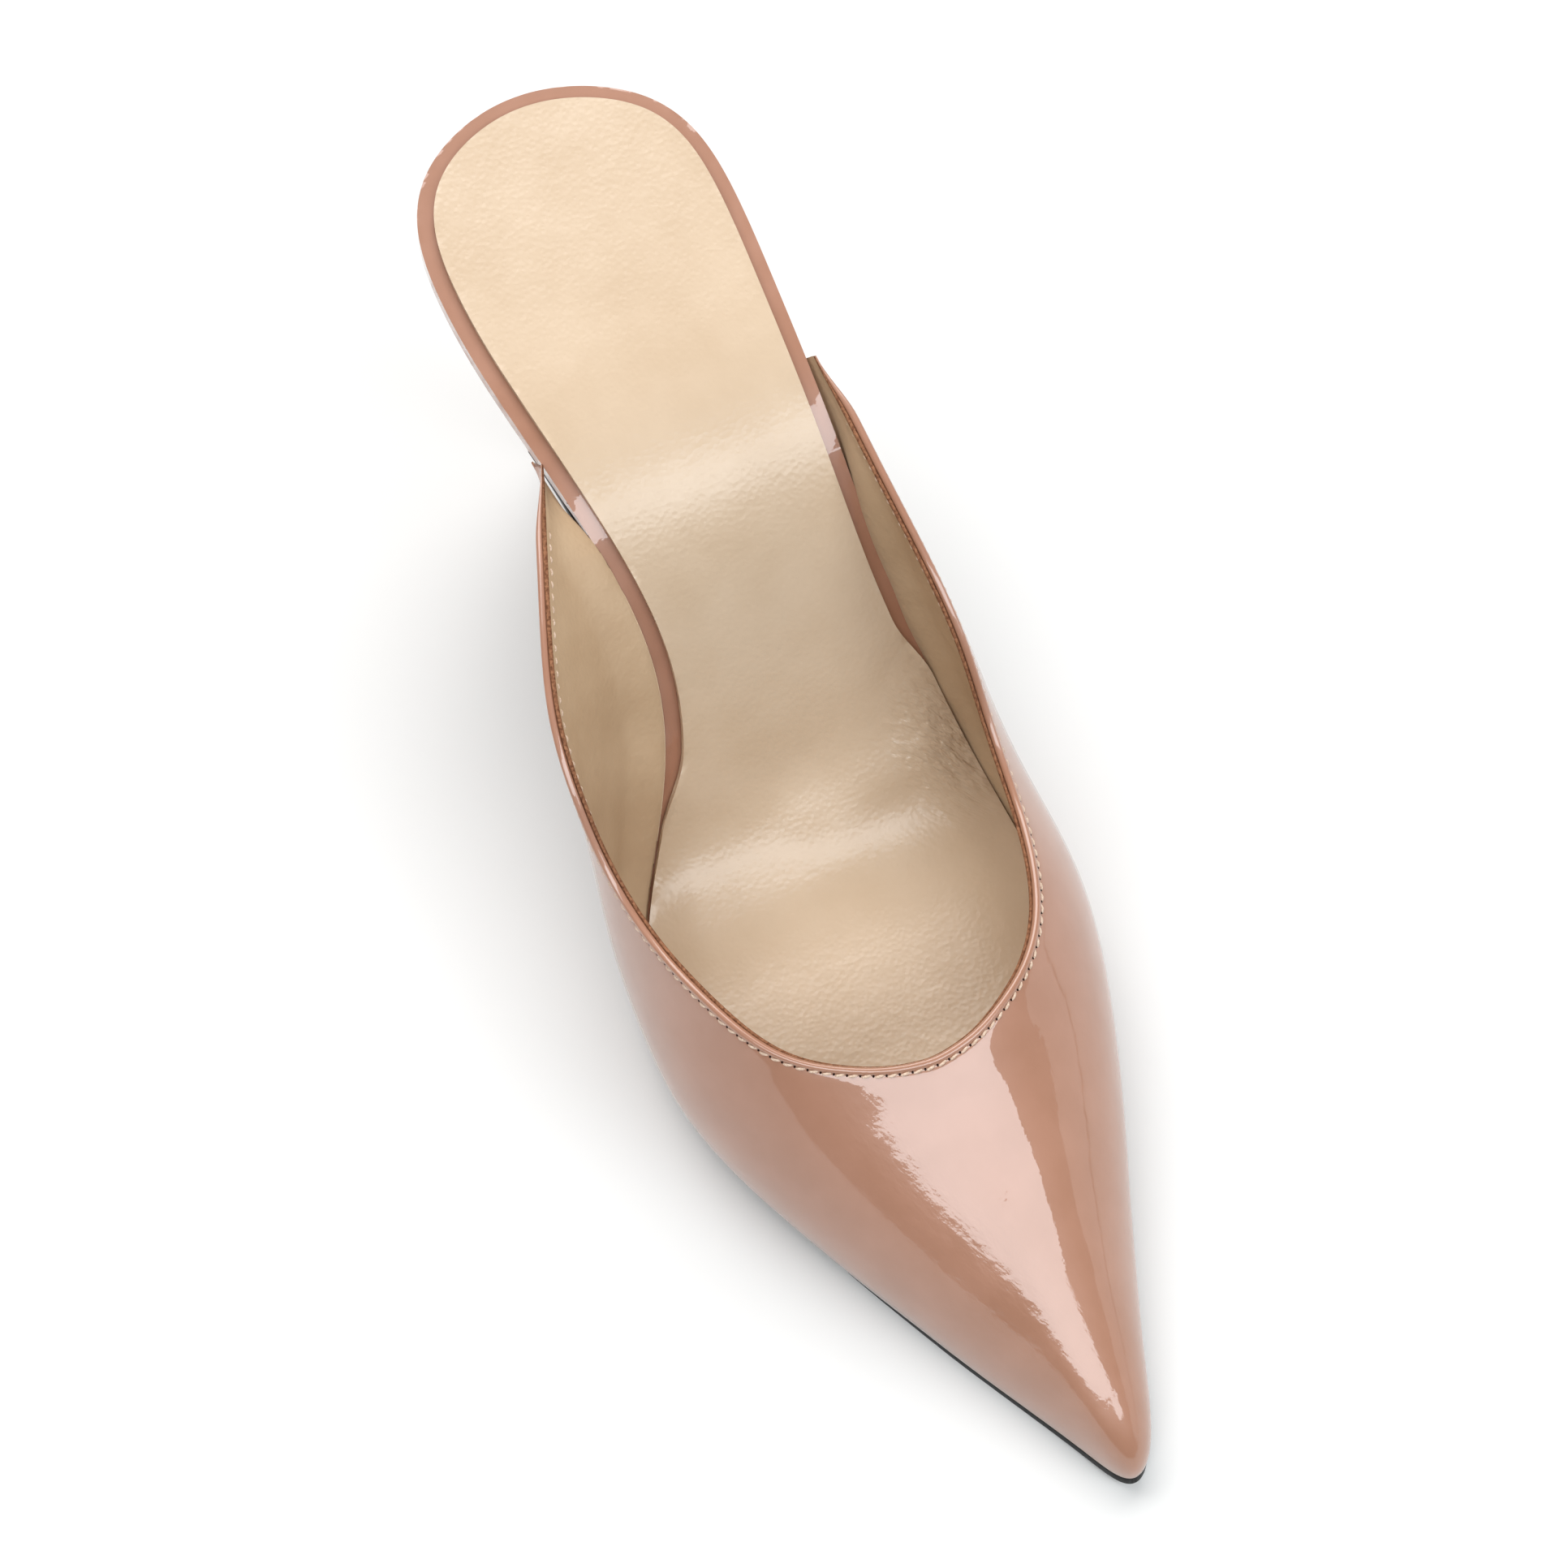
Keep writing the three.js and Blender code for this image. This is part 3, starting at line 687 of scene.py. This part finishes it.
# The rows of faces that show raw leather
raw_rows = range(hidden_rows + 1, hidden_rows + 8)
lining_rows = 50
hidden_crowd, shown_crowd = 1.2, 1.5
board_inset = upper_wall + piece_gap
# The lining overlaps the footbed's rim by a hair and leaves it in a soft hollow
rim_overlap, hollow_run = 0.3, 9.0
shortest_rib, whole_rib = 5.0, 16.0
# The pleats' height, their spacing around the upper, its drift, and where they start and end
pleat_height, pleat_rate, pleat_drift, drift_rate = 0.22, 95, 2.2, 23
pleat_start, pleat_run, pleat_end, pleat_fade = 0.45, 0.4, 0.9, 0.1
skived_lining_depth, skived_lining_share = 1.62, 0.15


def pleat_depth(place, share):
    """Soft pleats of the lining, in millimetres, growing towards the footbed."""
    pleats = 0.5 + 0.5 * np.sin(place * pleat_rate + pleat_drift * np.sin(place * drift_rate))
    slack = smooth((share - pleat_start) / pleat_run)
    return pleat_height * pleats * (slack * (1 - smooth((share - pleat_end) / pleat_fade)))


def rim_contact(place):
    """Where a rib passes the footbed's upper edge: height over the rib's foot, depth of the edge."""
    u, x = inset_outline(np.array(place), board_inset)
    edge = place_layer(u, x, board_thickness)
    t, lengths = rib_lengths(place)
    grid = np.full_like(t, place)
    away = edge - skin_at(grid, t)
    nearest = np.argmin(np.linalg.norm(away, axis=1))
    return lengths[-1] - lengths[nearest], np.linalg.norm(away[nearest])


def lining_section():
    cut = np.array(cut_section)
    distances, depths = [], []
    for place, total, reach in zip(upper_places, rib_totals, bead_reach):
        hidden = mix(cut[0, 0] * reach, total, crowd(hidden_rows, hidden_crowd))[::-1]
        shares = crowd(lining_rows, shown_crowd)
        shown = mix(cut[-1, 0] * reach, total, shares)
        distances.append(np.concatenate([hidden, cut[:, 0] * reach, shown, hidden[:1]]))
        hidden_depth = np.full(hidden_rows, lining_outer_depth)
        height = total - shown
        edge_height, edge_depth = rim_contact(place)
        over = 1 - smooth((height - edge_height) / hollow_run)
        under = mix(piece_gap, edge_depth + rim_overlap - upper_wall, smooth(height / edge_height))
        swell = np.where(height > edge_height, (edge_depth + rim_overlap - upper_wall) * over, under)
        swell = swell * smooth((total - shortest_rib) / (whole_rib - shortest_rib))
        shown_depth = upper_wall - pleat_depth(place, shares) + swell
        depths.append(np.concatenate([hidden_depth, cut[:, 1], shown_depth, hidden_depth[:1]]))
    return np.array(distances), np.array(depths)


lining_distances, lining_depths = lining_section()
skived_lining = skived_lining_depth + skived_lining_share * (lining_depths - 1)
lining_depths = mix(lining_depths, skived_lining, taper[:, None])
lining_points = skin_points(upper_places, lining_distances, lining_depths)
lining = shaped_grid("lining", lining_points)
lining.data.materials.append(lining_kid)
lining.data.materials.append(raw_edge)
for face in lining.data.polygons:
    if face.index // (upper_columns - 1) in raw_rows:
        face.material_index = 1
sew(lining, fill_ends=True)
finish_piece(lining, 50, lining_kid)

# %% [markdown]
# ## The stitched topline
#
# One row of lockstitch runs just below the bead and holds the fold and the lining together. A
# stitch is a short, slightly bent piece of thread that leans a little, because the needle turns
# the hole. It is modelled once, from a sphere, and copied along the topline into one mesh.

# %% Stitch and hole shapes
stitch_pitch = 2.05
stitch_length = 1.85
thread_width = 0.5
stitch_lean = math.radians(14)
stitch_line = 1.5
stitch_end = 0.685
thread_flatness, stitch_lift, stitch_bend = 0.42, 0.1, 0.32
seam_samples, seam_step = 900, 0.3
seam_start, thread_depth = 0.6, 0.05
lining_seam_drop, lining_stitch_scale = 0.3, 0.8
# The dark balls of painted hole shade: how far above the seam line they sit, and their size
hole_raise, hole_size = 0.1, (0.2, 0.3, 0.07)


def small_ball(segments, rings):
    """Points and faces of a ball of radius 1, from a sphere primitive that is then removed."""
    deselect()
    bpy.ops.mesh.primitive_uv_sphere_add(segments=segments, ring_count=rings, radius=1)
    ball = bpy.context.object
    points = np.array([vertex.co[:] for vertex in ball.data.vertices])
    faces = [tuple(face.vertices) for face in ball.data.polygons]
    bpy.data.objects.remove(ball)
    return points, faces


def stitch_shape():
    """A stitch along x, with z away from the leather, in millimetres."""
    points, faces = small_ball(8, 9)
    points = points[:, [2, 0, 1]]
    shape = points * (stitch_length / 2, thread_width / 2, thread_width * thread_flatness)
    shape[:, 2] += stitch_lift - stitch_bend * points[:, 0] ** 2
    lean = np.array([[math.cos(stitch_lean), -math.sin(stitch_lean)],
                     [math.sin(stitch_lean), math.cos(stitch_lean)]])
    shape[:, :2] = shape[:, :2] @ lean.T
    return shape, faces


# %% Places along the topline
def seam_frames(distance, depth, shift, pitch=stitch_pitch):
    """Evenly spaced points of the seam with their directions: along, across and outwards."""
    places = np.linspace(-stitch_end, stitch_end, seam_samples)
    column = np.ones((seam_samples, 1))
    line = skin_points(places, column * distance, column * depth)[:, 0]
    lengths = np.concatenate([[0], np.cumsum(np.linalg.norm(np.diff(line, axis=0), axis=1))])
    wanted = np.arange(shift, lengths[-1], pitch)
    spots, ahead, behind = [
        np.stack([np.interp(wanted + step, lengths, line[:, k]) for k in range(3)], axis=-1)
        for step in (0, seam_step, -seam_step)]
    here = np.interp(wanted, lengths, places)
    column = np.ones((len(here), 1))
    inner = skin_points(here, column * distance, column * (depth + 1))
    out = spots - inner[:, 0]
    out /= np.linalg.norm(out, axis=1)[:, None]
    along = ahead - behind
    along -= out * (along * out).sum(1)[:, None]
    along /= np.linalg.norm(along, axis=1)[:, None]
    return spots, along, np.cross(out, along), out


def copies_along(name, shape, faces, frames, inside, material):
    """One mesh of many copies of a small shape, one at each frame of the seam."""
    spots, along, across, out = frames
    side = -1 if inside else 1
    placed = (spots[:, None] + shape[None, :, :1] * along[:, None]
              + shape[None, :, 1:2] * across[:, None] * side
              + shape[None, :, 2:] * out[:, None] * side)
    count = len(shape)
    all_faces = [tuple(v + i * count for v in face) for i in range(len(spots)) for face in faces]
    mesh = bpy.data.meshes.new(name)
    mesh.from_pydata((placed.reshape(-1, 3) * MM).tolist(), [], all_faces)
    piece = bpy.data.objects.new(name, mesh)
    bpy.context.scene.collection.objects.link(piece)
    finish_piece(piece, 80, material)


# %% Sew the topline
stitch, stitch_faces = stitch_shape()
small_stitch = stitch * lining_stitch_scale
outer_seam = seam_frames(stitch_line, thread_depth, seam_start)
inner_seam = seam_frames(stitch_line + lining_seam_drop, upper_wall, seam_start)
copies_along("topline_stitches", stitch, stitch_faces, outer_seam, False, thread)
copies_along("lining_stitches", small_stitch, stitch_faces, inner_seam, True, thread)
# Dark flattened balls sunk into the leather between the stitches: painted shade of the needle holes
hole, hole_faces = small_ball(8, 6)
hole_seam = seam_frames(stitch_line - hole_raise, thread_depth, seam_start + stitch_pitch / 2)
copies_along("painted_hole_shades", hole * hole_size, hole_faces, hole_seam, False, painted_hole_shade)
print("stitches:", len(outer_seam[0]))

# %% Fibres of the cut edge
fibre_pitch = 0.2
fibre_longest = 0.6
fibre_width = 0.06
fibre_line, fibre_depth, fibre_start = 0.05, 1.3, 0.1
# How far the fibres lean by chance, along the edge and outwards, as shares of their length
lean_along, lean_out_middle, lean_out = 0.5, 0.1, 0.45
fibre_shortest_share, fibre_shift = 0.25, 0.1


def fibre_frames(seed):
    """Frames along the cut edge, each turned and stretched by chance, the same on every run."""
    chance = np.random.default_rng(seed)
    spots, along, across, out = seam_frames(fibre_line, fibre_depth, fibre_start, fibre_pitch)
    size = (len(spots), 1)
    lean = chance.normal(0, lean_along, size) * along
    lean = lean + chance.normal(lean_out_middle, lean_out, size) * out
    grow = lean - across
    stretch = chance.uniform(fibre_shortest_share, 1, size) * fibre_longest
    grow *= stretch / np.linalg.norm(grow, axis=1)[:, None]
    spots = spots + along * chance.uniform(-fibre_shift, fibre_shift, size)
    return spots, along * fibre_width, grow, out * fibre_width


fibre = np.array([(-0.5, 0, -0.3), (0.5, 0, -0.3), (0, 0, 0.6), (0, 1, 0)])
fibre_faces = [(0, 2, 1), (0, 1, 3), (1, 2, 3), (2, 0, 3)]
copies_along("edge_fibres", fibre, fibre_faces, fibre_frames(7), False, raw_edge)

# %% [markdown]
# ## Footbed, sock and sole
#
# These layers follow the bottom line of the last, from the toe over the ball and up the arch to
# the heel. Each starts as a strip laid between the inner and the outer outline, gets its
# thickness from Solidify and its rounded rim from Bevel.

# %% Layers
sock_toe_back, board_toe_back, toe_zone = 5.0, 2.0, 0.12
layer_along, layer_across = 240, 36
footbed_rim, sock_rim, outsole_rim = 0.7, 0.35, 0.45


def layer_points(inset_at, n, end_place, toe_back):
    """A strip across the layer at each step along it. n may be one height or one for each point."""
    steps = np.linspace(0, end_place, layer_along + 1)
    edges = []
    for side in (-1, 1):
        u, x = inset_outline(steps * side, inset_at(steps * side))
        u = u + toe_back * (1 - smooth(u / (toe_zone * last_length)))
        edges.append((u, x))
    share = np.linspace(0, 1, layer_across + 1)[:, None]
    u = mix(edges[0][0][None], edges[1][0][None], share)
    x = mix(edges[0][1][None], edges[1][1][None], share)
    return u, x, place_layer(u, x, n)


def add_thickness(piece, thickness, rim, segments):
    """Solidify downwards and a rounded rim, both applied. Sizes in millimetres."""
    deselect()
    piece.select_set(True)
    bpy.context.view_layer.objects.active = piece
    solidify = piece.modifiers.new("thickness", "SOLIDIFY")
    solidify.thickness = thickness * MM
    solidify.offset = -1
    solidify.use_even_offset = False
    bpy.ops.object.modifier_apply(modifier="thickness")
    round_edges(piece, rim, segments, 50)


def make_layer(name, points, thickness, rim, segments, material, *nodes):
    piece = shaped_grid(name, points)
    sew(piece)
    # Solidify reads the face normals, and a strip's own have to point up
    if sum(face.normal.z * face.area for face in piece.data.polygons) < 0:
        piece.data.flip_normals()
    add_thickness(piece, thickness, rim, segments)
    finish_piece(piece, 40, material, *nodes)


# %% Wrapped footbed
_, _, board_points = layer_points(lambda place: board_inset, board_thickness, 1, board_toe_back)
make_layer("wrapped_footbed", board_points, board_thickness, footbed_rim, 5, patent, "insole_board")

# %% [markdown]
# The sock lies on the footbed and leaves its patent rim free, a hair at the ball and three
# millimetres behind it. It is soft: it follows every small swelling of the padding, so its top
# face gets slow waves and a pad at the ball. The fine wrinkles there are in its finish.

# %% Sock
sock_rim_front, sock_rim_back = 0.4, 2.7
sock_rim_inner, sock_rim_outer, sock_rim_run = 0.52, 0.55, 0.05
# The padding's swellings, in millimetres: slow waves, a pad whose front end runs askew over the
# ball, and one row for each joint of the toes with height, u, x, and reach along and across
wave_height, wave_spot = 0.1, (95, 2, 40, 30)
pad_height, pad_start, pad_rise, pad_end, pad_fall = 2.0, 62, 54, 118, 22
pad_turn, pad_turn_middle = 0.15, 5
pad_climb, climb_start, climb_run = 6.2, -4, 26
joint_bumps = [(0.5, 128, -0.5, 5.5, 5.5), (0.5, 129.5, 15, 5.5, 8)]
# How fast the swellings die out at the sock's edges
sock_edge_rate = 8


def sock_inset(place):
    start = np.where(place < 0, sock_rim_inner, sock_rim_outer)
    share = along_at(place) / last_length
    return board_inset + mix(sock_rim_front, sock_rim_back, smooth((share - start) / sock_rim_run))


def bump_at(u, x, middle_u, middle_x, reach_u, reach_x):
    return np.exp(-((u - middle_u) / reach_u) ** 2 - ((x - middle_x) / reach_x) ** 2)


def sock_waves(u, x):
    """Height of the sock's swellings over its flat face, in millimetres."""
    slow = wave_height * np.sin(u / 11 + 0.05 * x) * np.cos(x / 9 - u / 23)
    slow = slow * bump_at(u, x, *wave_spot)
    climb = pad_climb * smooth((x - climb_start) / climb_run)
    askew = u - pad_turn * (x - pad_turn_middle) - climb
    ball_pad = pad_height * smooth((askew - pad_start) / pad_rise)
    ball_pad = ball_pad * (1 - smooth((askew - pad_end) / pad_fall))
    joints = sum(height * bump_at(u, x, *spot) for height, *spot in joint_bumps)
    return slow + ball_pad + joints


sock_bottom = board_thickness + piece_gap
sock_top = sock_bottom + sock_thickness
sock_u, sock_x, _ = layer_points(sock_inset, sock_top, 1, sock_toe_back)
sock_edge = np.minimum(1, np.linspace(0, 1, layer_across + 1)[:, None] * sock_edge_rate)
sock_edge = sock_edge * sock_edge[::-1]
sock_points = place_layer(sock_u, sock_x, sock_top + sock_waves(sock_u, sock_x) * sock_edge)
make_layer("sock", sock_points, sock_thickness, sock_rim, 3, sock_kid, "sock")

# %% Outsole
toe_sole_inset, ball_sole_inset, waist_sole_inset = 0.05, 1.0, 2.3
ball_sole_start, ball_sole_run = 0.1, 0.18
waist_sole_start, waist_sole_run, sole_end_gap = 0.66, 0.12, 0.004


def outsole_inset(place):
    share = along_at(place) / last_length
    front = mix(toe_sole_inset, ball_sole_inset, smooth((share - ball_sole_start) / ball_sole_run))
    return mix(front, waist_sole_inset, smooth((share - waist_sole_start) / waist_sole_run))


sole_end = place_of(breast_place - sole_end_gap)
_, _, sole_points = layer_points(outsole_inset, -piece_gap, sole_end, 0)
make_layer("outsole", sole_points, outsole_thickness, outsole_rim, 3, waxed_sole, "outsole")

# %% [markdown]
# ## The heel
#
# A high heel is a moulded block with patent leather pulled round it. Its top is cut to the seat
# of the last, and its ribs sweep down to a slim stem. The front, called the breast, meets the
# sides in two sharp edges. A grid is rolled into a tube around the ribs, and both ends are filled.

# %% Heel sizes
heel_top_inset = 2.7
heel_tip_width, heel_tip_length, heel_tip_forward = 10.4, 11.6, 18.0
tip_roundness = 2.5
top_piece_height, top_piece_inset = 5.7, 0.1
heel_stem_rise, heel_stem_grow, heel_stem_back = 40.0, 0.7, 1.2
heel_seat_drop, heel_seat_draw, seat_middle_share = 15.0, 0.24, 0.62
breast_bow, breast_corner = 1.2, -50.0
heel_points, breast_points = 22, 4
heel_corner_radius, top_piece_radius = 0.45, 0.4


def tip_outline(angle, z, grow):
    """The rounded outline of the heel's tip, by angle in radians from the outer side."""
    def rounded(value):
        return np.sign(value) * np.abs(value) ** (2 / tip_roundness)
    back = place_layer(np.array(last_length), 0, 0)
    middle = outline_at(np.array(1 - end_zone))[1] + outline_at(np.array(end_zone - 1))[1]
    x = middle / 2 + (heel_tip_width / 2 + grow) * rounded(np.cos(angle))
    y = back[1] - heel_tip_forward + (heel_tip_length / 2 + grow) * rounded(np.sin(angle))
    return np.stack([x, y, z + 0 * x], axis=-1)


def heel_top_point(side, k):
    corner = place_of(breast_place)
    if k < breast_points:
        left_u, left_x = inset_outline(np.array(-corner), heel_top_inset)
        right_u, right_x = inset_outline(np.array(corner), heel_top_inset)
        share = 0.5 + side * 0.5 * k / breast_points
        bow = breast_bow * (1 - (k / breast_points) ** 2)
        return place_layer(mix(left_u, right_u, share) - bow, mix(left_x, right_x, share), -piece_gap)
    place = side * mix(corner, 1, (k - breast_points) / (heel_points - breast_points))
    u, x = inset_outline(np.array(place), heel_top_inset)
    return place_layer(u, x, -piece_gap)


def heel_angle(side, k):
    behind = (k - breast_points) / (heel_points - breast_points)
    angle = mix(breast_corner, 90, behind)
    if k < breast_points:
        angle = mix(-90, breast_corner, k / breast_points)
    return math.radians(angle if side > 0 else 180 - angle)


# %% Heel cover
heel_levels = 56
seat_middle = mix(heel_top_point(1, 0), heel_top_point(1, heel_points), seat_middle_share)


def heel_rib(signed_k):
    side = 1 if signed_k >= 0 else -1
    k = abs(signed_k)
    top = heel_top_point(side, k)
    angle = np.array(heel_angle(side, k))
    tip = tip_outline(angle, top_piece_height + piece_gap, 0)
    flare = mix(top, seat_middle, heel_seat_draw)
    flare[2] = top[2] - heel_seat_drop
    stem = tip_outline(angle, top_piece_height + heel_stem_rise, heel_stem_grow)
    stem[1] += heel_stem_back
    t = np.linspace(0, 1, heel_levels + 1)[:, None]
    upper_half = (1 - t) ** 3 * top + 3 * (1 - t) ** 2 * t * flare
    return upper_half + 3 * (1 - t) * t**2 * stem + t**3 * tip


heel_steps = np.linspace(-heel_points, heel_points, heel_points * 6 + 1)
heel_grid = np.array([heel_rib(k) for k in heel_steps])
heel_grid[-1] = heel_grid[0]
heel = shaped_grid("covered_heel", heel_grid)
sew(heel, fill_ends=True)
round_edges(heel, heel_corner_radius, 3, 40)
finish_piece(heel, 50, patent, "heel")

# %% Top piece
top_piece_turns = 96
deselect()
bpy.ops.mesh.primitive_cylinder_add(vertices=top_piece_turns, radius=1, depth=1, end_fill_type="NGON")
top_piece = bpy.context.object
top_piece.name = top_piece.data.name = "top_piece"
for vertex in top_piece.data.vertices:
    angle = np.array(math.atan2(vertex.co.y, vertex.co.x))
    height = top_piece_height if vertex.co.z > 0 else 0
    vertex.co = Vector(tip_outline(angle, height, -top_piece_inset) * MM)
round_edges(top_piece, top_piece_radius, 3, 60)
finish_piece(top_piece, 40, rubber, "top_piece")

# %% [markdown]
# ## Floor, light and camera
#
# The shoe stands on a white floor. Glossy leather shows its light as a shape, so a wide soft box
# and a small one hang in front of the toe, and everything beside them stays dim: their reflection
# is the bright panel down the front of the vamp, and the dim part gives the brown beside it. A
# third box behind the heel lights the sock, and a faint one at the outer side lifts that wall.

# %% Floor
floor_material, floor_shader = new_material("white_floor", {"Roughness": 0.6})
floor_shader.inputs["Base Color"].default_value = linear("#d6d5d3")
deselect()
bpy.ops.mesh.primitive_plane_add(size=8)
floor = bpy.context.object
floor.name = "floor"
floor.data.materials.append(floor_material)

# %% Light
def soft_box(name, middle, width, depth, radiance, aim, colour=(1.0, 1.0, 1.0)):
    """A rectangular area light. Metres."""
    light = bpy.data.lights.new(name, "AREA")
    light.shape = "RECTANGLE"
    light.color = colour
    light.size = width
    light.size_y = depth
    light.energy = radiance * math.pi * width * depth
    holder = bpy.data.objects.new(name, light)
    bpy.context.scene.collection.objects.link(holder)
    holder.location = middle
    holder.rotation_euler = (Vector(aim) - Vector(middle)).to_track_quat("-Z", "Y").to_euler()


cool = (0.95, 1.0, 1.04)
soft_box("front_soft_box", (-0.1, -0.76, 1.03), 2.3, 0.53, 5.4, (-0.1, -0.76, 0.0), cool)
soft_box("toe_soft_box", (0.95, -1.2, 1.03), 0.7, 0.34, 5.4, (0.95, -1.2, 0.0), cool)
soft_box("back_soft_box", (0.0, 1.0, 1.35), 2.2, 1.2, 4.7, (0.0, 0.0, 0.0))
soft_box("side_reflector", (1.6, -0.4, 0.28), 2.6, 0.5, 0.8, (0.0, -0.4, 0.28))
world = bpy.data.worlds.new("studio")
world.use_nodes = True
world.node_tree.nodes["Background"].inputs["Color"].default_value = linear("#d8d8d8")
world.node_tree.nodes["Background"].inputs["Strength"].default_value = 0.35
bpy.context.scene.world = world
bpy.context.scene.view_settings.view_transform = "Standard"

# %% Camera
camera_place = Vector((-0.09602, -0.15499, 0.47553))
camera_aim = Vector((-0.00244, 0.04768, 0.02))
camera = bpy.data.cameras.new("camera")
camera.lens = 69.0
camera.sensor_width = 36.0
camera_holder = bpy.data.objects.new("camera", camera)
bpy.context.scene.collection.objects.link(camera_holder)
camera_holder.location = camera_place
camera_holder.rotation_euler = (camera_aim - camera_place).to_track_quat("-Z", "Y").to_euler()
bpy.context.scene.camera = camera_holder
